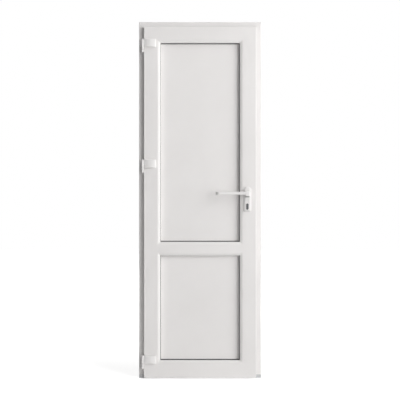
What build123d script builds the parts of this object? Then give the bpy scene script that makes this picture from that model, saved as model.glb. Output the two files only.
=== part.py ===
from build123d import *
import os

# A white uPVC door set: a leaf of two panels over and under a mid rail, hung inside a narrow outer frame.
# Millimetres. X runs right, +Y points outdoors, Z is up. The inside face, with the hinges, looks along -Y.
# The origin is at floor level, under the middle of the threshold.

# Outer frame
door_width = 720.0
door_height = 2100.0
frame_depth = 70.0
frame_reveal = 30.0
stop_thickness = 15.0
stop_overlap = 5.0
flange_overlap = 5.0
rebate_gap = 11.0
seal_gap = 5.0
threshold_height = 22.0
threshold_edge = 3.0
threshold_groove_width = 6.0
threshold_groove_depth = 2.0
threshold_groove_pitch = 12.0
threshold_grooves = 3

# Leaf
leaf_proud = 26.0
stile_face = 78.0
mid_rail_height = 764.0
mid_rail_face = 44.0
lip_thickness = 12.0
profile_round = 2.5
groove_width = 18.0
groove_depth = 3.0
groove_from_back = 28.0

# Panels, gaskets and beads; the inner gaskets' lips show at left, right, foot and head
panel_thickness = 32.0
panel_edge_gap = 4.0
gasket_thickness = 4.0
gasket_show = 4.0
upper_gasket_show = (1.5, 4.0, 5.5, 4.5)
lower_gasket_show = (2.5, 4.0, 5.5, 1.5)
gasket_cover = 12.0
bead_width = 18.0
bead_land = 4.0
bead_step = 1.0
bead_nose = 17.5
bead_crown = 0.5

# Weather seals
seal_width = 4.0
seal_clearance = 0.5
brush_width = 12.0
brush_end_gap = 6.0

# Hinges
hinge_side_offset = 7.5
hinge_front_offset = 5.0
hinge_height = 74.0
hinge_drop = 76.0
hinge_middle_top = 1286.0
hinge_rise = 51.0
knuckle_radius = 6.5
knuckle_gap = 0.4
pin_radius = 3.5
pin_engagement = 36.0
running_fit = 0.08
flag_height = 46.0
flag_length = 70.0
flag_start_thickness = 8.5
flag_crown_thickness = 14.0
flag_end_thickness = 9.0
flag_round = 2.0
flag_edge_round = 1.5
hinge_plate_width = 22.0
hinge_plate_thickness = 4.0
hinge_plate_edge_gap = 3.0
hinge_web_width = 10.0

# Handle set and lock
lever_backset = 52.5
lever_height = 1089.0
lever_length = 186.5
lever_bar_height = 18.0
lever_bar_depth = 11.0
lever_bar_round = 4.0
lever_bar_end_round = 3.0
lever_bar_set_back = 1.0
lever_projection = 52.0
lever_bend = 16.0
hub_width = 27.0
hub_above = 11.0
hub_below = 18.5
hub_corner = 6.0
hub_round = 4.5
neck_radius = 9.0
shoulder_gap = 0.3
spindle_size = 8.0
spindle_engagement = 30.0
spindle_bore_radius = 8.0
plate_width = 47.0
plate_height = 150.0
plate_above_lever = 40.0
plate_edge_thickness = 2.0
plate_thickness = 6.5
plate_bevel = 10.5
plate_top_radius = 20.0
plate_bottom_radius = 12.5
plate_edge_round = 1.0
plate_groove_width = 24.0
plate_groove_height = 4.0
plate_groove_depth = 5.0
cylinder_drop = 67.0
cylinder_radius = 7.5
cylinder_web_radius = 7.0
cylinder_height = 36.5
cylinder_clearance = 0.4
cylinder_set_back = 0.5
plug_radius = 5.8
plug_ring = 0.6
key_slot_width = 2.2
key_slot_height = 8.5
key_slot_depth = 8.0
faceplate_length = 240.0
faceplate_above_lever = 90.0
faceplate_clearance = 0.1
latch_rise = 22.0
latch_height = 20.0
latch_width = 11.0
latch_show = 3.0
latch_depth = 30.0
bolt_drop = 44.0
bolt_height = 34.0
bolt_width = 9.0
bolt_show = 0.5
keep_length = 180.0
keep_thickness = 2.0
keep_pocket_depth = 14.0
keep_hole_margin = 3.0

# Wall fixings through the jambs
fixing_radius = 5.0
fixing_end = 200.0
fixing_count = 4

# Places that follow from the sizes above
half_width = door_width / 2
frame_front = -frame_depth / 2
frame_back = frame_depth / 2
frame_body = frame_reveal + flange_overlap
stop_reach = rebate_gap + stop_overlap
stop_front = frame_back - stop_thickness
frame_section = frame_body + stop_reach
fixing_pitch = (door_height - 2 * fixing_end) / (fixing_count - 1)

leaf_half = half_width - frame_reveal
leaf_top = door_height - frame_reveal
flange_reach = flange_overlap + rebate_gap
leaf_bottom = threshold_height + seal_gap - flange_reach
leaf_front = frame_front - leaf_proud
leaf_back = stop_front - seal_gap
leaf_middle = (leaf_front + leaf_back) / 2
flange_back = frame_front - seal_gap
lip_front = leaf_back - lip_thickness
sash_section = stile_face + bead_width

panel_back = lip_front - gasket_thickness
panel_front = panel_back - panel_thickness
bead_back = panel_front - gasket_thickness
bead_front = leaf_front + bead_step

rebate_half = leaf_half - stile_face
upper_rebate = (mid_rail_height + mid_rail_face / 2, leaf_top - stile_face)
lower_rebate = (leaf_bottom + stile_face, mid_rail_height - mid_rail_face / 2)

leaf_edge = leaf_half - flange_reach
groove_back = leaf_back - groove_from_back
groove_front = groove_back - groove_width
groove_middle = (groove_front + groove_back) / 2

hinge_x = -leaf_half - hinge_side_offset
hinge_y = leaf_front - hinge_front_offset
hinge_tops = {
    "top": leaf_top - hinge_drop,
    "middle": hinge_middle_top,
    "bottom": leaf_bottom + hinge_rise + hinge_height,
}

lever_x = leaf_half - lever_backset
plate_front = leaf_front - plate_thickness
cylinder_z = lever_height - cylinder_drop

nodes = {}


def outline(*corners):
    """Closed face through points given as (x, y, corner radius)."""
    face = make_face(Polyline(*[(x, y) for x, y, radius in corners], close=True))
    for x, y, radius in corners:
        if radius > 0:
            corner = face.vertices().sort_by_distance((x, y, 0))[0]
            face = fillet(corner, radius)
    return face


def block(low, high):
    """Box between two opposite corners."""
    size = [b - a for a, b in zip(low, high)]
    middle = [(a + b) / 2 for a, b in zip(low, high)]
    return Pos(*middle) * Box(*size)


def member(section, inward, centre, length):
    """Extrusion of a section whose x runs inward from the outer edge and whose y is the depth."""
    along = Vector(*inward).cross(Vector(0, 1, 0))
    plane = Plane(origin=centre, x_dir=inward, z_dir=along)
    return extrude(plane * section, amount=length / 2, both=True)


def mitre(solid, *corners):
    """Keeps the part of a member inside an outline drawn on the door's face."""
    face = Plane.XZ * make_face(Polyline(*corners, close=True))
    return solid & extrude(face, amount=door_width, both=True)


def mitred_ring(section, reach, half, bottom, top):
    """Four members of one section round a rectangle, cut at 45 degrees where they meet."""
    tall = top - bottom
    middle = (bottom + top) / 2
    ring = {
        "left": member(section, (1, 0, 0), (-half, 0, middle), tall),
        "right": member(section, (-1, 0, 0), (half, 0, middle), tall),
        "top": member(section, (0, 0, -1), (0, 0, top), 2 * half),
        "bottom": member(section, (0, 0, 1), (0, 0, bottom), 2 * half),
    }
    inner = half - reach
    low = bottom + reach
    high = top - reach
    corners = {
        "left": ((-half, bottom), (-half, top), (-inner, high), (-inner, low)),
        "right": ((half, bottom), (half, top), (inner, high), (inner, low)),
        "top": ((-half, top), (half, top), (inner, high), (-inner, high)),
        "bottom": ((-half, bottom), (half, bottom), (inner, low), (-inner, low)),
    }
    return {side: mitre(ring[side], *corners[side]) for side in ring}


def flat_ring(half, bottom, top, reaches, front, back):
    """Flat rectangular loop, such as a gasket, with its own reach inward at left, right, foot and head."""
    left, right, foot, head = reaches
    outer = block((-half, front, bottom), (half, back, top))
    inner = block(
        (-half + left, front - 1, bottom + foot),
        (half - right, back + 1, top - head),
    )
    return outer - inner


def along_depth(profile, x, z, front, back):
    """Extrusion of a profile drawn on the door's face, from one depth to another."""
    plane = Plane(origin=(x, front, z), x_dir=(1, 0, 0), z_dir=(0, -1, 0))
    return extrude(plane * profile, amount=-(back - front))


def frame_outline():
    """Frame profile: a box body with the stop leg along its outdoor side."""
    return outline(
        (0, frame_front, profile_round),
        (frame_body, frame_front, profile_round),
        (frame_body, stop_front, 0),
        (frame_section, stop_front, 0),
        (frame_section, frame_back, profile_round),
        (0, frame_back, profile_round),
    )


def make_frame():
    """Two jambs standing on the threshold, and the head mitred between them."""
    section = frame_outline()
    tall = door_height - threshold_height
    middle = threshold_height + tall / 2
    inner = half_width - frame_section
    high = door_height - frame_section
    for name, sign in (("frame_hinge_jamb", -1), ("frame_lock_jamb", 1)):
        jamb = member(section, (-sign, 0, 0), (sign * half_width, 0, middle), tall)
        jamb = mitre(
            jamb,
            (sign * half_width, threshold_height),
            (sign * half_width, door_height),
            (sign * inner, high),
            (sign * inner, threshold_height),
        )
        for index in range(fixing_count):
            height = fixing_end + index * fixing_pitch
            hole = Cylinder(fixing_radius, 2 * frame_section)
            jamb -= Pos(sign * half_width, 0, height) * Rot(0, 90, 0) * hole
        nodes[name] = jamb
    head = member(section, (0, 0, -1), (0, 0, door_height), door_width)
    nodes["frame_head"] = mitre(
        head,
        (-half_width, door_height),
        (half_width, door_height),
        (inner, high),
        (-inner, high),
    )


def make_threshold():
    """Low sill across the whole width, grooved where feet pass."""
    section = outline(
        (frame_front, 0, 0),
        (frame_back, 0, 0),
        (frame_back, threshold_height, threshold_edge),
        (frame_front, threshold_height, threshold_edge),
    )
    plane = Plane(origin=(0, 0, 0), x_dir=(0, 1, 0), z_dir=(1, 0, 0))
    sill = extrude(plane * section, amount=half_width, both=True)
    clear_half = half_width - frame_section
    first = -(threshold_grooves - 1) / 2 * threshold_groove_pitch
    for index in range(threshold_grooves):
        middle = first + index * threshold_groove_pitch
        sill -= block(
            (-clear_half, middle - threshold_groove_width / 2, threshold_height - threshold_groove_depth),
            (clear_half, middle + threshold_groove_width / 2, threshold_height + 1),
        )
    nodes["threshold"] = sill


def sash_outline():
    """Sash profile: overlapping flange, hardware groove in its edge, body, and the outdoor glazing lip."""
    return outline(
        (0, leaf_front, profile_round),
        (stile_face, leaf_front, 0),
        (stile_face, lip_front, 0),
        (sash_section, lip_front, 0),
        (sash_section, leaf_back, profile_round),
        (flange_reach, leaf_back, profile_round),
        (flange_reach, groove_back, 0),
        (flange_reach + groove_depth, groove_back, 0),
        (flange_reach + groove_depth, groove_front, 0),
        (flange_reach, groove_front, 0),
        (flange_reach, flange_back, 0),
        (0, flange_back, 0),
    )


def make_sash():
    """Stiles and rails mitred at the corners, and the mid rail notched over the stiles' lips."""
    ring = mitred_ring(sash_outline(), sash_section, leaf_half, leaf_bottom, leaf_top)
    nodes["sash_hinge_stile"] = ring["left"]
    nodes["sash_top_rail"] = ring["top"]
    nodes["sash_bottom_rail"] = ring["bottom"]
    stile = ring["right"]
    bore = Circle(spindle_bore_radius)
    stile -= along_depth(bore, lever_x, lever_height, leaf_front - 1, leaf_back + 1)
    keyway = cylinder_outline(cylinder_clearance)
    stile -= along_depth(keyway, lever_x, cylinder_z, leaf_front - 1, leaf_back + 1)
    for z, height, width, show in bolts():
        stile -= block(
            (leaf_edge - latch_depth, groove_middle - width / 2, z - height / 2),
            (leaf_edge, groove_middle + width / 2, z + height / 2),
        )
    nodes["sash_lock_stile"] = stile

    rail_top, rail_bottom = upper_rebate[0], lower_rebate[1]
    rail = block((-rebate_half, leaf_front, rail_bottom), (rebate_half, leaf_back, rail_top))
    lip_half = rebate_half - bead_width
    rail -= block((-rebate_half, lip_front, rail_bottom), (-lip_half, leaf_back, rail_top))
    rail -= block((lip_half, lip_front, rail_bottom), (rebate_half, leaf_back, rail_top))
    rail += block(
        (-lip_half, lip_front, rail_bottom - bead_width),
        (lip_half, leaf_back, rail_top + bead_width),
    )
    nodes["sash_mid_rail"] = rail


def bead_outline():
    """Glazing bead: a short land beside the sash face, then a crowned slope down to the nose."""
    nose = (bead_width, bead_back - bead_nose)
    shoulder = (bead_land, bead_front)
    crown = (
        (nose[0] + shoulder[0]) / 2 + bead_crown,
        (nose[1] + shoulder[1]) / 2 - bead_crown,
    )
    edges = Polyline((bead_width, bead_back), (0, bead_back), (0, bead_front), shoulder)
    edges += ThreePointArc(shoulder, crown, nose)
    edges += Line(nose, (bead_width, bead_back))
    return make_face(edges)


def make_panels():
    """Each opening's panel between two gaskets, held by four mitred beads."""
    openings = (
        ("upper", upper_rebate, upper_gasket_show),
        ("lower", lower_rebate, lower_gasket_show),
    )
    for name, (bottom, top), shows in openings:
        edge = panel_edge_gap
        half = rebate_half - edge
        nodes[f"{name}_panel"] = block(
            (-half, panel_front, bottom + edge),
            (half, panel_back, top - edge),
        )
        cover = bead_width - gasket_cover
        nodes[f"{name}_inner_gasket"] = flat_ring(
            rebate_half - cover,
            bottom + cover,
            top - cover,
            [gasket_cover + show for show in shows],
            bead_back,
            panel_front,
        )
        nodes[f"{name}_outer_gasket"] = flat_ring(
            rebate_half - cover,
            bottom + cover,
            top - cover,
            [gasket_cover + gasket_show] * 4,
            panel_back,
            lip_front,
        )
        beads = mitred_ring(bead_outline(), bead_width, rebate_half, bottom, top)
        for side, bead in beads.items():
            nodes[f"{name}_bead_{side}"] = bead


def make_seals():
    """Rubber strips in the gaps between leaf and frame, and the brush under the leaf."""
    back = stop_front
    front = leaf_back + seal_clearance
    edge = (stop_overlap - seal_width) / 2
    half = half_width - frame_section + edge + seal_width
    top = door_height - frame_section + edge + seal_width
    loop = block((-half, front, threshold_height), (half, back, top))
    loop -= block(
        (-half + seal_width, front - 1, threshold_height - 1),
        (half - seal_width, back + 1, top - seal_width),
    )
    nodes["frame_weather_seal"] = loop

    edge = (flange_overlap - seal_width) / 2
    nodes["leaf_weather_seal"] = flat_ring(
        leaf_half - edge,
        leaf_bottom + edge,
        leaf_top - edge,
        [seal_width] * 4,
        flange_back,
        frame_front - seal_clearance,
    )

    half = half_width - frame_section - brush_end_gap
    nodes["bottom_brush"] = block(
        (-half, groove_back, threshold_height + seal_clearance),
        (half, groove_back + brush_width, leaf_bottom + flange_reach),
    )


def make_hinges():
    """Three flag hinges: the sash part hangs on the pin of the frame part."""
    flag_end = -leaf_half + flag_length
    arm_start = hinge_x + knuckle_radius / 2
    crown_x = (arm_start + flag_end) / 2
    start = (arm_start, leaf_front - flag_start_thickness)
    crown = (crown_x, leaf_front - flag_crown_thickness)
    end = (flag_end, leaf_front - flag_end_thickness)
    edges = ThreePointArc(start, crown, end)
    edges += Polyline(end, (flag_end, leaf_front), (arm_start, leaf_front), start)
    flag_face = make_face(edges)
    flag = extrude(flag_face, amount=flag_height)
    flag = fillet(flag.edges().filter_by(Axis.Z).sort_by(Axis.X)[-2:].sort_by(Axis.Y)[0], flag_round)
    flag = fillet(flag.faces().sort_by(Axis.Z)[-1].edges().sort_by(Axis.Y)[:2], flag_edge_round)
    flag = fillet(flag.faces().sort_by(Axis.Z)[0].edges().sort_by(Axis.Y)[:2], flag_edge_round)
    on_base = (Align.CENTER, Align.CENTER, Align.MIN)
    for name, top in hinge_tops.items():
        flag_base = top - flag_height
        bottom = top - hinge_height
        axis = Pos(hinge_x, hinge_y, flag_base)
        sash = Pos(0, 0, flag_base) * flag
        sash += axis * Cylinder(knuckle_radius, flag_height, align=on_base)
        sash -= axis * Cylinder(pin_radius + running_fit, pin_engagement + 1, align=on_base)
        nodes[f"hinge_{name}_sash_part"] = sash

        frame = block(
            (-half_width + hinge_plate_edge_gap, frame_front - hinge_plate_thickness, bottom),
            (-half_width + hinge_plate_edge_gap + hinge_plate_width, frame_front, top),
        )
        knuckle_height = hinge_height - flag_height - knuckle_gap
        frame += block(
            (hinge_x - hinge_web_width / 2, hinge_y, bottom),
            (hinge_x + hinge_web_width / 2, frame_front - hinge_plate_thickness, bottom + knuckle_height),
        )
        base = Pos(hinge_x, hinge_y, bottom)
        frame += base * Cylinder(knuckle_radius, knuckle_height, align=on_base)
        pin_height = hinge_height - flag_height + pin_engagement
        frame += base * Cylinder(pin_radius, pin_height, align=on_base)
        nodes[f"hinge_{name}_frame_part"] = frame


def cylinder_outline(grow):
    """Oval lock cylinder, centred on its plug, grown all round by a clearance."""
    web_bottom = cylinder_radius - cylinder_height + cylinder_web_radius
    web = Pos(0, web_bottom / 2) * Rectangle(2 * (cylinder_web_radius + grow), -web_bottom)
    foot = Pos(0, web_bottom) * Circle(cylinder_web_radius + grow)
    return Circle(cylinder_radius + grow) + web + foot


def plate_outline(inset):
    """Back plate outline about the lever's axis: round shoulders over a squarer foot."""
    half = plate_width / 2 - inset
    top = plate_above_lever - inset
    bottom = plate_above_lever - plate_height + inset
    shoulder = plate_top_radius - inset
    foot = plate_bottom_radius - inset
    return outline(
        (-half, bottom, foot),
        (half, bottom, foot),
        (half, top, shoulder),
        (-half, top, shoulder),
    )


def make_back_plate():
    """Inside back plate: wide bevels, a groove under the hub, and openings for neck and cylinder."""
    rim = leaf_front - plate_edge_thickness
    plate = along_depth(plate_outline(0), lever_x, lever_height, rim, leaf_front)
    wide = Plane(origin=(lever_x, rim, lever_height), x_dir=(1, 0, 0), z_dir=(0, -1, 0))
    narrow = Plane(origin=(lever_x, plate_front, lever_height), x_dir=(1, 0, 0), z_dir=(0, -1, 0))
    plate += loft([wide * plate_outline(0), narrow * plate_outline(plate_bevel)], ruled=True)
    plate = fillet(plate.faces().sort_by(Axis.Y)[0].edges(), plate_edge_round)
    groove_top = lever_height - hub_below
    plate -= block(
        (lever_x - plate_groove_width / 2, plate_front - 1, groove_top - plate_groove_height),
        (lever_x + plate_groove_width / 2, plate_front + plate_groove_depth, groove_top),
    )
    neck_hole = Circle(neck_radius + running_fit)
    plate -= along_depth(neck_hole, lever_x, lever_height, plate_front - 1, leaf_front + 1)
    keyhole = cylinder_outline(cylinder_clearance)
    plate -= along_depth(keyhole, lever_x, cylinder_z, plate_front - 1, leaf_front + 1)
    return plate


def make_lever():
    """Inside lever: round neck, block-shaped hub, and a straight bar whose end turns back to the door."""
    hub_front = leaf_front - lever_projection
    bar_middle = hub_front + lever_bar_set_back + lever_bar_depth / 2
    tip_middle = lever_x - lever_length + lever_bar_depth / 2
    path = Line((lever_x, bar_middle, lever_height), (tip_middle + lever_bend, bar_middle, lever_height))
    path += TangentArc(
        (tip_middle + lever_bend, bar_middle, lever_height),
        (tip_middle, bar_middle + lever_bend, lever_height),
        tangent=(-1, 0, 0),
    )
    start = Plane(origin=(lever_x, bar_middle, lever_height), x_dir=(0, 0, 1), z_dir=(-1, 0, 0))
    bar = sweep(start * RectangleRounded(lever_bar_height, lever_bar_depth, lever_bar_round), path=path)
    bar = fillet(bar.faces().sort_by(Axis.Y)[-1].edges(), lever_bar_end_round)
    shoulder = plate_front - shoulder_gap
    hub_face = RectangleRounded(hub_width, hub_above + hub_below, hub_corner)
    hub_middle = lever_height + (hub_above - hub_below) / 2
    hub = along_depth(hub_face, lever_x, hub_middle, hub_front, shoulder)
    hub = fillet(hub.faces().sort_by(Axis.Y)[0].edges(), hub_round)
    neck = along_depth(Circle(neck_radius), lever_x, lever_height, shoulder, leaf_front - shoulder_gap)
    lever = bar + hub + neck
    socket = Rectangle(spindle_size, spindle_size)
    socket_end = leaf_front - spindle_engagement
    return lever - along_depth(socket, lever_x, lever_height, socket_end, leaf_front + 1)


def make_handle_set():
    """Plates and levers on both faces, the spindle between them and the key cylinder."""
    other_face = Plane(origin=(0, leaf_middle, 0), x_dir=(1, 0, 0), z_dir=(0, 1, 0))
    plate = make_back_plate()
    nodes["inside_handle_plate"] = plate
    nodes["outside_handle_plate"] = mirror(plate, about=other_face)
    lever = make_lever()
    nodes["inside_lever"] = lever
    nodes["outside_lever"] = mirror(lever, about=other_face)
    bar = Rectangle(spindle_size, spindle_size)
    nodes["spindle"] = along_depth(
        bar,
        lever_x,
        lever_height,
        leaf_front - spindle_engagement,
        leaf_back + spindle_engagement,
    )
    front = plate_front + cylinder_set_back
    back = 2 * leaf_middle - front
    cylinder = along_depth(cylinder_outline(0), lever_x, cylinder_z, front, back)
    ring = Circle(plug_radius) - Circle(plug_radius - plug_ring)
    slot = Rectangle(key_slot_width, key_slot_height)
    for end, inward in ((front, 1), (back, -1)):
        for profile, depth in ((ring, plug_ring), (slot, key_slot_depth)):
            low, high = sorted((end, end + inward * depth))
            cylinder -= along_depth(profile, lever_x, cylinder_z, low, high)
    nodes["key_cylinder"] = cylinder


def bolts():
    """Height, size and show of the latch and the dead bolt in the leaf's edge."""
    latch = (lever_height + latch_rise, latch_height, latch_width, latch_show)
    dead = (lever_height - bolt_drop, bolt_height, bolt_width, bolt_show)
    return latch, dead


def make_lock():
    """Faceplate in the leaf's edge groove, bolts drawn in behind it, and the keep in the jamb."""
    floor = leaf_edge - groove_depth
    top = lever_height + faceplate_above_lever
    faceplate = block(
        (floor, groove_front + faceplate_clearance, top - faceplate_length),
        (leaf_edge, groove_back - faceplate_clearance, top),
    )
    rebate = half_width - frame_body
    middle = (bolts()[0][0] + bolts()[1][0]) / 2
    keep = block(
        (rebate, groove_front, middle - keep_length / 2),
        (rebate + keep_thickness, groove_back, middle + keep_length / 2),
    )
    nodes["frame_lock_jamb"] -= keep
    for name, (z, height, width, show) in zip(("latch_bolt", "dead_bolt"), bolts()):
        low = (leaf_edge - latch_depth, groove_middle - width / 2, z - height / 2)
        high = (leaf_edge + show, groove_middle + width / 2, z + height / 2)
        bolt = block(low, high)
        faceplate -= bolt
        nodes[name] = bolt
        margin = keep_hole_margin
        pocket = block(
            (rebate, groove_middle - width / 2 - margin, z - height / 2 - margin),
            (rebate + keep_pocket_depth, groove_middle + width / 2 + margin, z + height / 2 + margin),
        )
        keep -= pocket
        nodes["frame_lock_jamb"] -= pocket
    nodes["lock_faceplate"] = faceplate
    nodes["frame_keep"] = keep


make_frame()
make_threshold()
make_sash()
make_panels()
make_seals()
make_hinges()
make_handle_set()
make_lock()

os.makedirs("parts", exist_ok=True)
for name, shape in nodes.items():
    export_step(shape, f"parts/{name}.step")
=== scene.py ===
"""White uPVC door set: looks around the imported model. Metres; X right, -Y towards the viewer, Z up."""

import math
import random

import bmesh
import bpy
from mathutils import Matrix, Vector


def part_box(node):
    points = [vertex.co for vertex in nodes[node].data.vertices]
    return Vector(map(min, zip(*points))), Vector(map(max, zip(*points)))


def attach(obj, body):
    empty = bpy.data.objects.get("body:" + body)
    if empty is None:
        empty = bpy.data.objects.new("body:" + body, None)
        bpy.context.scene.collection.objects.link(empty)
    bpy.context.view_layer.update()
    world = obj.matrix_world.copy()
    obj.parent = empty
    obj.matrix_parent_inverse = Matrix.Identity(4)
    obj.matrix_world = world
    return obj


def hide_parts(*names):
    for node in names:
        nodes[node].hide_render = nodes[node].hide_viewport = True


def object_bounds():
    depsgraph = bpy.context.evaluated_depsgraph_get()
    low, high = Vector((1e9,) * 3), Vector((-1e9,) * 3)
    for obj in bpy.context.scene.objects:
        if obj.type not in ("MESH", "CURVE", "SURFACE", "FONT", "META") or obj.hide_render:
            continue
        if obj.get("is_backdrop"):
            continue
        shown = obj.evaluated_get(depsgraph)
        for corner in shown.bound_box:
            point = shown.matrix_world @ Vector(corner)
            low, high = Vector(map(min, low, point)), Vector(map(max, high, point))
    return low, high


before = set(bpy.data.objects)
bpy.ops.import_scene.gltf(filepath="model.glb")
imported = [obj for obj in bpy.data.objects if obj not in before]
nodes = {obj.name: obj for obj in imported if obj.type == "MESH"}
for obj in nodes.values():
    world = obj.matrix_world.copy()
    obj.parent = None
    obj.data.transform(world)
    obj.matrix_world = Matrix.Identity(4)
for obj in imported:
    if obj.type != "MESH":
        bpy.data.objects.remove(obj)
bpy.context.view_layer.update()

MM = 0.001
OPENINGS = ("upper", "lower")
HINGES = ("top", "middle", "bottom")
HANDLE_SIDES = ("inside", "outside")
WHITE = (1.0, 1.0, 1.0, 1.0)

# Darker and lighter tone of each material
UPVC_TONES = ((0.790, 0.771, 0.760), (0.822, 0.803, 0.792))
COAT_TONES = ((0.775, 0.760, 0.750), (0.805, 0.790, 0.780))
PLATE_TONES = ((0.735, 0.720, 0.710), (0.765, 0.750, 0.740))
ALUMINIUM_TONES = ((0.50, 0.505, 0.51), (0.62, 0.625, 0.63))
STEEL_TONES = ((0.33, 0.335, 0.34), (0.48, 0.485, 0.49))
PLATED_TONES = ((0.48, 0.49, 0.50), (0.60, 0.61, 0.62))
# Key cylinder: a dark nickel finish toned darker still, partly painted shade standing for the shadow in the
# keyhole
NICKEL_AND_SHADE_TONES = ((0.085, 0.085, 0.088), (0.16, 0.16, 0.165))
RUBBER_TONES = ((0.018, 0.018, 0.019), (0.036, 0.036, 0.038))
PILE_TONES = ((0.06, 0.06, 0.065), (0.22, 0.22, 0.23))


# Node helpers

UNSTRETCHED = (1.0, 1.0, 1.0)
NOISE_LOW = 0.3
NOISE_HIGH = 0.7


def new_material(name):
    """New node material, its tree and its shader."""
    material = bpy.data.materials.new(name)
    material.use_nodes = True
    tree = material.node_tree
    return material, tree, tree.nodes["Principled BSDF"]


def place(tree, scale=UNSTRETCHED):
    """Coordinates of the piece itself in metres, stretched by a scale."""
    coordinate = tree.nodes.new("ShaderNodeTexCoord")
    mapping = tree.nodes.new("ShaderNodeMapping")
    mapping.inputs["Scale"].default_value = scale
    tree.links.new(coordinate.outputs["Object"], mapping.inputs["Vector"])
    return mapping.outputs["Vector"]


def noise(tree, vector, scale=1.0, detail=3.0, roughness=0.55):
    """Noise value over a vector."""
    node = tree.nodes.new("ShaderNodeTexNoise")
    node.inputs["Scale"].default_value = scale
    node.inputs["Detail"].default_value = detail
    node.inputs["Roughness"].default_value = roughness
    tree.links.new(vector, node.inputs["Vector"])
    return node.outputs["Fac"]


def between(tree, factor, tones, start=NOISE_LOW, end=NOISE_HIGH):
    """Colour that runs from the first tone to the second as a factor runs from start to end."""
    node = tree.nodes.new("ShaderNodeValToRGB")
    for element, position, tone in zip(node.color_ramp.elements, (start, end), tones):
        element.position = position
        element.color = (*tone, 1.0)
    tree.links.new(factor, node.inputs["Fac"])
    return node.outputs["Color"]


def level(tree, factor, low, high, start=NOISE_LOW, end=NOISE_HIGH):
    """Number that runs from low to high as a factor runs from start to end."""
    node = tree.nodes.new("ShaderNodeMapRange")
    node.inputs["From Min"].default_value = start
    node.inputs["From Max"].default_value = end
    node.inputs["To Min"].default_value = low
    node.inputs["To Max"].default_value = high
    tree.links.new(factor, node.inputs["Value"])
    return node.outputs["Result"]


def bumps(tree, shader, *layers):
    """Bump from layers of (height, strength, distance in metres), each over the one before."""
    normal = None
    for height, strength, distance in layers:
        node = tree.nodes.new("ShaderNodeBump")
        node.inputs["Strength"].default_value = strength
        node.inputs["Distance"].default_value = distance
        tree.links.new(height, node.inputs["Height"])
        if normal is not None:
            tree.links.new(normal, node.inputs["Normal"])
        normal = node.outputs["Normal"]
    tree.links.new(normal, shader.inputs["Normal"])


# Materials: a noise scale counts features in a metre, and a bump is a strength and a distance

UPVC_CLOUD = 3.2
UPVC_RIPPLE = 420.0
UPVC_PATCH = 16.0
UPVC_STREAK = {"x": (0.9, 140.0, 140.0), "z": (140.0, 140.0, 0.9)}
UPVC_BUMP = (0.05, 0.2 * MM)
UPVC_SMOOTHER = 0.04
UPVC_ROUGHER = 0.06
UPVC_IOR = 1.52


def upvc(name, run, rough):
    """White uPVC: cloudy tone, fine ripple, and streaks along its run, or patches on a sheet with no run."""
    material, tree, shader = new_material(name)
    plain = place(tree)
    cloud = noise(tree, plain, UPVC_CLOUD, detail=4.0)
    tree.links.new(between(tree, cloud, UPVC_TONES), shader.inputs["Base Color"])
    layers = [(noise(tree, plain, UPVC_RIPPLE, detail=2.0), *UPVC_BUMP)]
    if run:
        gloss = noise(tree, place(tree, UPVC_STREAK[run]))
        layers.append((gloss, *UPVC_BUMP))
    else:
        gloss = noise(tree, plain, UPVC_PATCH, detail=4.0)
    roughness = level(tree, gloss, rough - UPVC_SMOOTHER, rough + UPVC_ROUGHER)
    tree.links.new(roughness, shader.inputs["Roughness"])
    bumps(tree, shader, *layers)
    shader.inputs["IOR"].default_value = UPVC_IOR
    return material


COAT_MOTTLE = 24.0
COAT_ROUGH = (0.46, 0.56)
COAT_PEEL = 900.0
COAT_BUMP = (0.08, 0.1 * MM)


def coat(name, tones, shine):
    """White powder coat: a fine orange peel and a slightly mottled gloss."""
    material, tree, shader = new_material(name)
    plain = place(tree)
    mottle = noise(tree, plain, COAT_MOTTLE)
    tree.links.new(between(tree, mottle, tones), shader.inputs["Base Color"])
    tree.links.new(level(tree, mottle, *COAT_ROUGH), shader.inputs["Roughness"])
    shader.inputs["Specular IOR Level"].default_value = shine
    peel = noise(tree, plain, COAT_PEEL, detail=2.0)
    bumps(tree, shader, (peel, *COAT_BUMP))
    return material


METAL_BRUSHED = {
    "x": (3.0, 500.0, 500.0),
    "y": (500.0, 8.0, 500.0),
    "z": (600.0, 600.0, 6.0),
    "none": (300.0, 300.0, 300.0),
}
METAL_BUMP = (0.10, 0.1 * MM)
METAL_SMOOTHER = 0.06
METAL_ROUGHER = 0.08


def metal(name, tones, rough, run, metallic=1.0):
    """Satin metal with brushed lines along a run; a dull skin makes it less metallic."""
    material, tree, shader = new_material(name)
    lines = noise(tree, place(tree, METAL_BRUSHED[run]), detail=4.0, roughness=0.6)
    tree.links.new(between(tree, lines, tones), shader.inputs["Base Color"])
    roughness = level(tree, lines, rough - METAL_SMOOTHER, rough + METAL_ROUGHER)
    tree.links.new(roughness, shader.inputs["Roughness"])
    bumps(tree, shader, (lines, *METAL_BUMP))
    shader.inputs["Metallic"].default_value = metallic
    return material


RUBBER_BLOOM = 60.0
RUBBER_BLOOM_RANGE = (0.35, 0.75)
RUBBER_ROUGH = (0.55, 0.75)
RUBBER_PORES = 1500.0
RUBBER_BUMP = (0.15, 0.1 * MM)


def rubber(name):
    """Matt dark rubber with a dusty bloom."""
    material, tree, shader = new_material(name)
    plain = place(tree)
    bloom = noise(tree, plain, RUBBER_BLOOM, detail=4.0, roughness=0.6)
    tone = between(tree, bloom, RUBBER_TONES, *RUBBER_BLOOM_RANGE)
    tree.links.new(tone, shader.inputs["Base Color"])
    tree.links.new(level(tree, bloom, *RUBBER_ROUGH), shader.inputs["Roughness"])
    pores = noise(tree, plain, RUBBER_PORES, detail=2.0)
    bumps(tree, shader, (pores, *RUBBER_BUMP))
    return material


PILE_STRANDS = (900.0, 900.0, 30.0)
PILE_ROUGH = (0.6, 0.85)
PILE_SHEEN = 0.3


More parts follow.
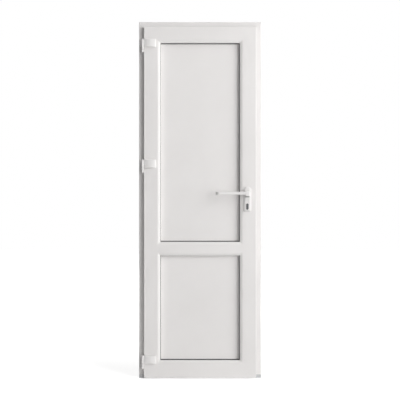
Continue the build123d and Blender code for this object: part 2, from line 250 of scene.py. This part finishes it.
def fibre(name):
    """Brush pile: each bristle a little lighter or darker along the strip."""
    material, tree, shader = new_material(name)
    strands = noise(tree, place(tree, PILE_STRANDS), detail=2.0)
    tree.links.new(between(tree, strands, PILE_TONES), shader.inputs["Base Color"])
    tree.links.new(level(tree, strands, *PILE_ROUGH), shader.inputs["Roughness"])
    shader.inputs["Sheen Weight"].default_value = PILE_SHEEN
    return material


PROFILE_ROUGH = 0.36
BEAD_ROUGH = 0.44
PANEL_ROUGH = 0.38
GLOSS_SHINE = 0.5
MATT_SHINE = 0.2
ALUMINIUM_ROUGH = 0.48
ALUMINIUM_METALLIC = 0.15
STEEL_ROUGH = 0.34
PLATED_ROUGH = 0.36
look = {
    "frame_x": upvc("frame_upvc_level", "x", PROFILE_ROUGH),
    "frame_z": upvc("frame_upvc_upright", "z", PROFILE_ROUGH),
    "sash_x": upvc("sash_upvc_level", "x", PROFILE_ROUGH),
    "sash_z": upvc("sash_upvc_upright", "z", PROFILE_ROUGH),
    "bead_x": upvc("bead_upvc_level", "x", BEAD_ROUGH),
    "bead_z": upvc("bead_upvc_upright", "z", BEAD_ROUGH),
    "panel": upvc("panel_upvc_sheet", None, PANEL_ROUGH),
    "coat": coat("white_powder_coat", COAT_TONES, GLOSS_SHINE),
    "plate": coat("matt_powder_coat", PLATE_TONES, MATT_SHINE),
    "aluminium": metal("dull_aluminium", ALUMINIUM_TONES, ALUMINIUM_ROUGH, "x", ALUMINIUM_METALLIC),
    "steel": metal("satin_steel", STEEL_TONES, STEEL_ROUGH, "z"),
    "spindle": metal("plated_steel", PLATED_TONES, PLATED_ROUGH, "y"),
    # The key cylinder's very dark nickel is partly painted shade for the keyhole.
    "cylinder": metal("nickel_with_painted_shade", NICKEL_AND_SHADE_TONES, PLATED_ROUGH, "none"),
    "rubber": rubber("gasket_rubber"),
    "brush": fibre("brush_pile"),
}


def wear(obj, key):
    """Gives a piece one of the looks."""
    if obj.data.materials:
        for index in range(len(obj.data.materials)):
            obj.data.materials[index] = look[key]
    else:
        obj.data.materials.append(look[key])


worn = {
    "frame_x": ["frame_head"],
    "frame_z": ["frame_hinge_jamb", "frame_lock_jamb"],
    "sash_x": ["sash_top_rail", "sash_bottom_rail", "sash_mid_rail"],
    "sash_z": ["sash_hinge_stile", "sash_lock_stile"],
    "bead_x": [f"{opening}_bead_{side}" for opening in OPENINGS for side in ("top", "bottom")],
    "bead_z": [f"{opening}_bead_{side}" for opening in OPENINGS for side in ("left", "right")],
    "panel": [f"{opening}_panel" for opening in OPENINGS],
    "coat": [f"hinge_{hinge}_{part}_part" for hinge in HINGES for part in ("sash", "frame")],
    "plate": [f"{side}_handle_plate" for side in HANDLE_SIDES],
    "aluminium": ["threshold"],
    "steel": ["lock_faceplate", "latch_bolt", "dead_bolt", "frame_keep"],
    "spindle": ["spindle"],
    "cylinder": ["key_cylinder"],
}
worn["coat"] += [f"{side}_lever" for side in HANDLE_SIDES]
for key, names in worn.items():
    for name in names:
        wear(nodes[name], key)


# Mesh helpers

STRIP_ANGLE = 40.0
FITTING_ANGLE = 35.0
SEAM_ANGLE = 60.0


def add_piece(name, points, faces, key, body, sharp_angle=STRIP_ANGLE):
    """New piece from points and faces, turned to face outwards, with a look, that rides on a body."""
    mesh = bpy.data.meshes.new(name)
    mesh.from_pydata([tuple(point) for point in points], [], faces)
    mesh.validate()
    shell = bmesh.new()
    shell.from_mesh(mesh)
    bmesh.ops.recalc_face_normals(shell, faces=shell.faces)
    shell.to_mesh(mesh)
    shell.free()
    mesh.shade_smooth()
    mesh.set_sharp_from_angle(angle=math.radians(sharp_angle))
    obj = bpy.data.objects.new(name, mesh)
    bpy.context.scene.collection.objects.link(obj)
    wear(obj, key)
    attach(obj, body)
    return obj


def add_several(name, parts, key, body, sharp_angle=FITTING_ANGLE):
    """One piece from several sets of points and faces."""
    points = []
    faces = []
    for more, more_faces in parts:
        offset = len(points)
        points.extend(more)
        faces.extend(tuple(index + offset for index in face) for face in more_faces)
    return add_piece(name, points, faces, key, body, sharp_angle)


def strip_faces(rows, count, round_again=False):
    """Faces between neighbouring rows of points, each row a loop of the same count."""
    faces = []
    for row in range(rows if round_again else rows - 1):
        here = row * count
        there = (row + 1) % rows * count
        for point in range(count):
            after = (point + 1) % count
            faces.append((here + point, here + after, there + after, there + point))
    return faces


def capped_faces(rows, count):
    """Faces between rows of points that also close the first and the last row."""
    first = tuple(range(count - 1, -1, -1))
    last = tuple(range((rows - 1) * count, rows * count))
    return strip_faces(rows, count) + [first, last]


# Corners in order round a rectangle: side, and whether at the top
CORNERS = ((-1, False), (-1, True), (1, True), (1, False))


def swept_ring(sections, half, low, high):
    """Points and faces of sections taken round a rectangle: one each for left, right, foot and head.

    A section is points of (inset from the outer edge, y).
    """
    left, right, foot, head = sections
    points = []
    for sign, top in CORNERS:
        side = left if sign < 0 else right
        end = head if top else foot
        for (inset, y), (rise, _) in zip(side, end):
            points.append((sign * (half - inset), y, high - rise if top else low + rise))
    return points, strip_faces(len(CORNERS), len(left), round_again=True)


def swept_arch(section, half, low, high):
    """Points and faces of a section taken up one side, across the top and down the other."""
    points = []
    for sign, top in CORNERS:
        for inset, y in section:
            points.append((sign * (half - inset), y, high - inset if top else low))
    return points, capped_faces(len(CORNERS), len(section))


def bar(section, start, end):
    """Points and faces of a section of (y, z) taken along X, with closed ends."""
    points = [(x, y, z) for x in (start, end) for y, z in section]
    return points, capped_faces(2, len(section))


def box_section(low_y, high_y, low_z, high_z):
    """Corners of a rectangle of (y, z)."""
    return (low_y, high_z), (low_y, low_z), (high_y, low_z), (high_y, high_z)


def turned(rings, centre, normal, segments, start=0.0):
    """Points and faces of rings of (reach at an angle, height) round a normal, with closed ends."""
    normal = Vector(normal).normalized()
    across = normal.orthogonal().normalized()
    other = normal.cross(across)
    points = []
    for reach, height in rings:
        for segment in range(segments):
            turn = 2 * math.pi * (segment + start) / segments
            out = across * math.cos(turn) + other * math.sin(turn)
            points.append(Vector(centre) + normal * height + out * reach(turn))
    return points, capped_faces(len(rings), segments)


def circle(radius):
    """Reach of a circle, the same at every angle."""
    return lambda turn: radius


# Gaskets round the panels: a flat tail under the bead and a rounded lip that shows

LIP_STEPS = 5
LIP_ROUND = 3.0 * MM
LIP_DEPTH = 0.85
GASKET_COVERED = 12.0
# Width in millimetres that shows at left, right, foot and head. The inner gaskets' widths differ by side:
# the rubber is real, but its uneven widths are painted light and shade, narrow where a line looks lit and
# wide where it looks shaded.
GASKET_SHOWN_AND_SHADE = {
    "upper_inner": (1.5, 4.0, 5.5, 4.5),
    "lower_inner": (2.5, 4.0, 5.5, 1.5),
    "upper_outer": (4.0, 4.0, 4.0, 4.0),
    "lower_outer": (4.0, 4.0, 4.0, 4.0),
}


def lip_section(near, far, reach):
    """Section of a panel gasket; the lip rounds off on the near side, away from the panel."""
    section = [(0.0, far), (0.0, near)]
    for step in range(LIP_STEPS + 1):
        turn = math.pi / 2 * step / LIP_STEPS
        inset = reach - LIP_ROUND + LIP_ROUND * math.sin(turn)
        section.append((inset, near + (far - near) * LIP_DEPTH * (1 - math.cos(turn))))
    section.append((reach, far))
    return section


for opening in OPENINGS:
    for face in ("inner", "outer"):
        node = f"{opening}_{face}_gasket"
        low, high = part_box(node)
        near, far = (low.y, high.y) if face == "inner" else (high.y, low.y)
        # Uneven widths here are partly painted light and shade along each line.
        reaches = [(GASKET_COVERED + shown) * MM for shown in GASKET_SHOWN_AND_SHADE[f"{opening}_{face}"]]
        sections = [lip_section(near, far, reach) for reach in reaches]
        points, faces = swept_ring(sections, high.x, low.z, high.z)
        piece = add_piece(f"{node}_lip", points, faces, "rubber", "leaf")
        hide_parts(node)


# Weather seals: a base strip and a bulb that stops short of what it presses on

SEAL_WIDTH = 4.0 * MM
BULB_STEPS = 10
BULB_BASE = 0.28


def bulb_section(base, tip):
    """Section of a bulb seal between the y of its base and of its tip."""
    strip = base + BULB_BASE * (tip - base)
    section = [(0.0, base), (0.0, strip)]
    for step in range(1, BULB_STEPS):
        turn = math.pi * step / BULB_STEPS
        inset = SEAL_WIDTH * (1 - math.cos(turn)) / 2
        section.append((inset, strip + (tip - strip) * math.sin(turn)))
    return section + [(SEAL_WIDTH, strip), (SEAL_WIDTH, base)]


low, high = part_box("leaf_weather_seal")
points, faces = swept_ring([bulb_section(low.y, high.y)] * 4, high.x, low.z, high.z)
piece = add_piece("leaf_weather_seal_bulb", points, faces, "rubber", "leaf")
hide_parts("leaf_weather_seal")

low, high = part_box("frame_weather_seal")
points, faces = swept_arch(bulb_section(high.y, low.y), high.x, low.z, high.z)
piece = add_piece("frame_weather_seal_bulb", points, faces, "rubber", "frame")
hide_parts("frame_weather_seal")


# Brush under the leaf: a carrier strip and rows of single bristles

BRUSH_SEED = 4
BRUSH_CARRIER = 1.2 * MM
BRISTLE_ROWS = 4
BRISTLE_PITCH = 1.9 * MM
# Place of the first bristle in even and in odd rows, in pitches
BRISTLE_FIRST = (0.6, 1.0)
BRISTLE_SIDES = 3
ROOT_RADIUS = 0.55 * MM
ROOT_INSIDE = 0.3 * MM
TIP_RADIUS = 0.30 * MM
# Most that a bristle is out of place, leans and falls short, in millimetres
BRISTLE_SHIFT = 0.3
BRISTLE_LEAN = 0.5
BRISTLE_SHORT = 0.5


def bristle(root, tip, twist):
    """Points and faces of one bristle from its root to its thinner tip."""
    points = []
    for (x, y, z), radius in ((root, ROOT_RADIUS), (tip, TIP_RADIUS)):
        for corner in range(BRISTLE_SIDES):
            turn = 2 * math.pi * corner / BRISTLE_SIDES + twist
            points.append((x + radius * math.cos(turn), y + radius * math.sin(turn), z))
    return points, capped_faces(2, BRISTLE_SIDES)


def brush(low, high):
    """Carrier and bristles that fill a space, each as points and faces."""
    draw = random.Random(BRUSH_SEED)
    carrier_low = high.z - BRUSH_CARRIER
    parts = [bar(box_section(low.y, high.y, carrier_low, high.z), low.x, high.x)]
    count = int((high.x - low.x - BRISTLE_PITCH) / BRISTLE_PITCH)
    for row in range(BRISTLE_ROWS):
        y = low.y + (row + 0.5) / BRISTLE_ROWS * (high.y - low.y)
        for index in range(count):
            x = low.x + BRISTLE_PITCH * (index + BRISTLE_FIRST[row % 2])
            x += draw.uniform(-BRISTLE_SHIFT, BRISTLE_SHIFT) * MM
            lean = draw.uniform(-BRISTLE_LEAN, BRISTLE_LEAN) * MM
            tip = low.z + draw.uniform(0.0, BRISTLE_SHORT) * MM
            parts.append(bristle((x, y, carrier_low + ROOT_INSIDE), (x + lean, y, tip), row))
    return parts


bristles = brush(*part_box("bottom_brush"))
piece = add_several("bottom_brush_pile", bristles, "brush", "leaf", STRIP_ANGLE)
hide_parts("bottom_brush")


# Weld seams where the leaf's members meet

SEAM_WIDTH = 2.4 * MM
SEAM_PROUD = 0.12 * MM
# Section as shares of the width and of the height
SEAM_SECTION = ((-0.5, -0.2), (-0.5, 0.3), (-0.25, 1.0), (0.25, 1.0), (0.5, 0.3), (0.5, -0.2))
FRONT = (0, -1, 0)
BACK = (0, 1, 0)
EDGE_ROUND = 2.5 * MM
# Reach of the leaf's flange past its body, and width of its whole profile
LEAF_FLANGE = 16.0 * MM
LEAF_PROFILE = 96.0 * MM


def seam(start, end, out):
    """Points and faces of a low ridge from start to end on a face that looks along out."""
    start, end, out = Vector(start), Vector(end), Vector(out)
    side = (end - start).normalized().cross(out)
    points = []
    for point in (start, end):
        for across, height in SEAM_SECTION:
            points.append(point + side * (across * SEAM_WIDTH) + out * (height * SEAM_PROUD))
    return points, capped_faces(2, len(SEAM_SECTION))


leaf_low, leaf_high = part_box("sash_hinge_stile")
leaf_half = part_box("sash_top_rail")[1].x
bead_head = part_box("upper_bead_top")[1].z
bead_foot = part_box("lower_bead_bottom")[0].z
back_outer = LEAF_FLANGE + EDGE_ROUND
back_inner = LEAF_PROFILE - EDGE_ROUND
leaf_seams = []
for side in (-1, 1):
    for end, z, bead_z in ((1, leaf_high.z, bead_head), (-1, leaf_low.z, bead_foot)):
        outer = (side * (leaf_half - EDGE_ROUND), leaf_low.y, z - end * EDGE_ROUND)
        inner = (side * (leaf_half - abs(z - bead_z)), leaf_low.y, bead_z)
        leaf_seams.append(seam(outer, inner, FRONT))
        outer = (side * (leaf_half - back_outer), leaf_high.y, z - end * back_outer)
        inner = (side * (leaf_half - back_inner), leaf_high.y, z - end * back_inner)
        leaf_seams.append(seam(outer, inner, BACK))
add_several("leaf_weld_seams", leaf_seams, "sash_z", "leaf", SEAM_ANGLE)


# Foot strip: a slim white fin under the leaf's front edge, which closes most of the gap over the floor

FIN_END = 3.0 * MM
# Section in millimetres behind the leaf's face and over its lower edge
FIN = (
    (2.6, 3.2), (0.3, 2.4), (-0.5, 1.9), (-0.6, 1.3), (-0.6, -5.0), (-0.2, -5.7),
    (0.8, -6.0), (3.6, -6.0), (4.4, -5.4), (4.6, 0.5),
)
fin_section = [(leaf_low.y + back * MM, leaf_low.z + up * MM) for back, up in FIN]
points, faces = bar(fin_section, FIN_END - leaf_half, leaf_half - FIN_END)
add_piece("leaf_foot_strip", points, faces, "sash_x", "leaf")


# Weld seams where the frame's members meet

# Widths of the frame's front and back faces
FRAME_FRONT = 35.0 * MM
FRAME_BACK = 51.0 * MM
head_low, head_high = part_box("frame_head")
frame_seams = []
for side in (-1, 1):
    for face_width, y, out in ((FRAME_FRONT, head_low.y, FRONT), (FRAME_BACK, head_high.y, BACK)):
        reach = face_width - EDGE_ROUND
        outer = (side * (head_high.x - EDGE_ROUND), y, head_high.z - EDGE_ROUND)
        inner = (side * (head_high.x - reach), y, head_high.z - reach)
        frame_seams.append(seam(outer, inner, out))
add_several("frame_weld_seams", frame_seams, "frame_z", "frame", SEAM_ANGLE)


# Painted shade: dark rubber strips in the grooves across the handle plates, standing for the shadow line
# under each lever's hub

LEVER_X = 277.5 * MM
GROOVE_HALF = 12.0 * MM
GROOVE_TOP = 1070.5 * MM
GROOVE_HEIGHT = 4.0 * MM
SHADE_STRIP_FROM = 2.5 * MM
SHADE_STRIP_TO = 4.9 * MM
SHADE_STRIP_GAP = 0.05 * MM
shade_strip_half = GROOVE_HALF - SHADE_STRIP_GAP
shade_strip_low = GROOVE_TOP - GROOVE_HEIGHT + SHADE_STRIP_GAP
shade_strip_high = GROOVE_TOP - SHADE_STRIP_GAP
shade_strips = []
for side in HANDLE_SIDES:
    low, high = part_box(f"{side}_handle_plate")
    if side == "inside":
        near, far = low.y + SHADE_STRIP_FROM, low.y + SHADE_STRIP_TO
    else:
        near, far = high.y - SHADE_STRIP_TO, high.y - SHADE_STRIP_FROM
    section = box_section(near, far, shade_strip_low, shade_strip_high)
    shade_strips.append(bar(section, LEVER_X - shade_strip_half, LEVER_X + shade_strip_half))
# These strips are painted shade: dark rubber in place of the shadow under each hub.
add_several("plate_groove_painted_shade", shade_strips, "rubber", "leaf")


# Screws in the lock's faceplate, the keep and the threshold

SCREW_SEGMENTS = 48
SCREW_SUNK = 0.4 * MM
# Rings of the head as shares of its radius and of its height
SCREW_RINGS = ((1.0, 0.35), (0.90, 0.80), (0.72, 1.0))
# Arm and half width of the cross recess, at its edge and at its floor, as shares of the radius
RECESS_EDGE = (0.58, 0.15)
RECESS_FLOOR = (0.54, 0.13)
RECESS_TAPER = 0.92
RECESS_DEPTH = 0.32
# Radius and height of a head
LOCK_SCREW = (4.0 * MM, 0.3 * MM)
SILL_SCREW = (4.2 * MM, 0.35 * MM)
FACEPLATE_FROM_END = 12.0 * MM
FACEPLATE_OVER_MIDDLE = 24.0 * MM
KEEP_FROM_END = 11.0 * MM
SILL_FROM_FRONT = 11.0 * MM
SILL_SPACING = 240.0 * MM
TINY = 1e-6


def cross(arm, half_width, taper=1.0):
    """Reach to the edge of a cross-shaped recess."""
    def reach(turn):
        c = max(abs(math.cos(turn)), TINY)
        s = max(abs(math.sin(turn)), TINY)
        return taper * max(min(arm / c, half_width / s), min(half_width / c, arm / s))
    return reach


def screw_head(centre, normal, radius, proud):
    """Points and faces of a low countersunk head with a cross recess."""
    rings = [(circle(radius), -SCREW_SUNK)]
    rings += [(circle(share * radius), rise * proud) for share, rise in SCREW_RINGS]
    edge = [share * radius for share in RECESS_EDGE]
    floor = [share * radius for share in RECESS_FLOOR]
    rings.append((cross(*edge), proud))
    rings.append((cross(*floor, RECESS_TAPER), proud - RECESS_DEPTH * radius))
    return turned(rings, centre, normal, SCREW_SEGMENTS, start=0.5)


low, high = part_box("lock_faceplate")
middle = (low + high) / 2
heights = (high.z - FACEPLATE_FROM_END, low.z + FACEPLATE_FROM_END, middle.z + FACEPLATE_OVER_MIDDLE)
heads = [screw_head((high.x, middle.y, z), (1, 0, 0), *LOCK_SCREW) for z in heights]
add_several("faceplate_screws", heads, "steel", "leaf")

low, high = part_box("frame_keep")
middle = (low + high) / 2
heights = (high.z - KEEP_FROM_END, low.z + KEEP_FROM_END, middle.z)
heads = [screw_head((low.x, middle.y, z), (-1, 0, 0), *LOCK_SCREW) for z in heights]
add_several("keep_screws", heads, "steel", "frame")

low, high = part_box("threshold")
screw_y = low.y + SILL_FROM_FRONT
across = (-SILL_SPACING, 0.0, SILL_SPACING)
heads = [screw_head((x, screw_y, high.z), (0, 0, 1), *SILL_SCREW) for x in across]
add_several("threshold_screws", heads, "steel", "frame")


# Caps over the jambs' wall fixings and on the ends of the hinges

CAP_SEGMENTS = 32
# Profiles of (radius, height) in millimetres
FIXING_CAP = ((8.0, -0.3), (8.0, 0.5), (7.4, 1.0), (6.0, 1.3), (3.0, 1.5), (0.4, 1.55))
HINGE_CAP = ((6.1, -0.3), (6.1, 0.4), (5.6, 0.9), (4.2, 1.3), (2.0, 1.5), (0.4, 1.55))
FIXINGS = 4
FIXING_FIRST = 200.0 * MM
FIXING_LAST = 1900.0 * MM
HINGE_AXIS = (-337.5 * MM, -66.0 * MM)


def round_cap(profile, centre, normal):
    """Points and faces of a low round cap."""
    rings = [(circle(radius * MM), height * MM) for radius, height in profile]
    return turned(rings, centre, normal, CAP_SEGMENTS)


fixing_step = (FIXING_LAST - FIXING_FIRST) / (FIXINGS - 1)
rebate = head_high.x - FRAME_FRONT
caps = []
for side in (-1, 1):
    for index in range(FIXINGS):
        centre = (side * rebate, 0.0, FIXING_FIRST + index * fixing_step)
        caps.append(round_cap(FIXING_CAP, centre, (-side, 0, 0)))
add_several("jamb_fixing_caps", caps, "coat", "frame")

upper_caps = []
lower_caps = []
for hinge in HINGES:
    low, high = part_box(f"hinge_{hinge}_sash_part")
    upper_caps.append(round_cap(HINGE_CAP, (*HINGE_AXIS, high.z), (0, 0, 1)))
    low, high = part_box(f"hinge_{hinge}_frame_part")
    lower_caps.append(round_cap(HINGE_CAP, (*HINGE_AXIS, low.z), (0, 0, -1)))
add_several("hinge_upper_caps", upper_caps, "coat", "leaf")
add_several("hinge_lower_caps", lower_caps, "coat", "frame")


# Camera: level, straight in front of the door's middle, framed as the photograph is

EYE_X = -0.0003
EYE_HEIGHT = 1.0502
FRAME_FACE = -0.035
DISTANCE = 5.5
VIEW_WIDTH = 2.36
SENSOR = 36.0
camera_data = bpy.data.cameras.new("camera")
camera_data.sensor_width = SENSOR
camera_data.lens = SENSOR * DISTANCE / VIEW_WIDTH
camera = bpy.data.objects.new("camera", camera_data)
bpy.context.scene.collection.objects.link(camera)
camera.location = (EYE_X, FRAME_FACE - DISTANCE, EYE_HEIGHT)
camera.rotation_euler = (math.pi / 2, 0.0, 0.0)
bpy.context.scene.camera = camera


# Studio: white surround, pale floor that whitens away from the door, and three soft lamps

AMBIENT = 0.025
SURROUND = 1.0
FLOOR_HALF = 14.0
FLOOR_TONE = 0.92
FLOOR_ROUGH = 0.9
# Glow of the floor near the door and far from it, and the distances between which it rises
FLOOR_GLOW = (0.60, 1.0)
GLOW_RISE = (1.2, 3.0)
LAMP_TARGET = Vector((0.0, 0.0, 1.15))
LAMP_DISTANCE = 8.0
# Direction from the target, width in metres and power in watts
LAMPS = {
    "key": ((1.2, -1.0, 0.4), 6.5, 668.0),
    "back": ((-0.55, 1.0, 0.22), 4.0, 430.0),
    "top": ((0.15, -0.5, 1.0), 5.0, 120.0),
}


def white_to_view(tree):
    """Number that is 1 for what the camera, a reflection or a clear piece sees, and 0 for light cast."""
    path = tree.nodes.new("ShaderNodeLightPath")
    total = path.outputs["Is Camera Ray"]
    for other in ("Is Glossy Ray", "Is Transmission Ray"):
        node = tree.nodes.new("ShaderNodeMath")
        node.operation = "MAXIMUM"
        tree.links.new(total, node.inputs[0])
        tree.links.new(path.outputs[other], node.inputs[1])
        total = node.outputs["Value"]
    return total


def background(tree, strength):
    """White background of a strength."""
    node = tree.nodes.new("ShaderNodeBackground")
    node.inputs["Color"].default_value = WHITE
    node.inputs["Strength"].default_value = strength
    return node.outputs["Background"]


def soft_lamp(name, towards, size, power):
    """Square area lamp in a direction from the door's middle, turned to face it."""
    towards = Vector(towards).normalized()
    lamp = bpy.data.lights.new(name, "AREA")
    lamp.shape = "SQUARE"
    lamp.size = size
    lamp.energy = power
    obj = bpy.data.objects.new(name, lamp)
    bpy.context.scene.collection.objects.link(obj)
    obj.location = LAMP_TARGET + towards * LAMP_DISTANCE
    obj.rotation_euler = (-towards).to_track_quat("-Z", "Y").to_euler()


world = bpy.data.worlds.new("studio")
bpy.context.scene.world = world
world.use_nodes = True
tree = world.node_tree
tree.nodes.clear()
choose = tree.nodes.new("ShaderNodeMixShader")
output = tree.nodes.new("ShaderNodeOutputWorld")
tree.links.new(white_to_view(tree), choose.inputs["Fac"])
tree.links.new(background(tree, AMBIENT), choose.inputs[1])
tree.links.new(background(tree, SURROUND), choose.inputs[2])
tree.links.new(choose.outputs["Shader"], output.inputs["Surface"])

mesh = bpy.data.meshes.new("floor")
corners = [(FLOOR_HALF * x, FLOOR_HALF * y, 0.0) for x, y in ((-1, -1), (1, -1), (1, 1), (-1, 1))]
mesh.from_pydata(corners, [], [(0, 1, 2, 3)])
floor = bpy.data.objects.new("floor", mesh)
bpy.context.scene.collection.objects.link(floor)
material, tree, shader = new_material("pale_floor")
shader.inputs["Base Color"].default_value = (FLOOR_TONE, FLOOR_TONE, FLOOR_TONE, 1.0)
shader.inputs["Roughness"].default_value = FLOOR_ROUGH
shader.inputs["Specular IOR Level"].default_value = 0.0
shader.inputs["Emission Color"].default_value = WHITE
distance = tree.nodes.new("ShaderNodeVectorMath")
distance.operation = "LENGTH"
tree.links.new(place(tree), distance.inputs[0])
glow = tree.nodes.new("ShaderNodeMath")
glow.operation = "MULTIPLY"
tree.links.new(white_to_view(tree), glow.inputs[0])
tree.links.new(level(tree, distance.outputs["Value"], *FLOOR_GLOW, *GLOW_RISE), glow.inputs[1])
tree.links.new(glow.outputs["Value"], shader.inputs["Emission Strength"])
floor.data.materials.append(material)
floor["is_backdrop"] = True

for name, (towards, size, power) in LAMPS.items():
    soft_lamp(name, towards, size, power)

bpy.context.scene.view_settings.view_transform = "Standard"

low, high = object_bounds()
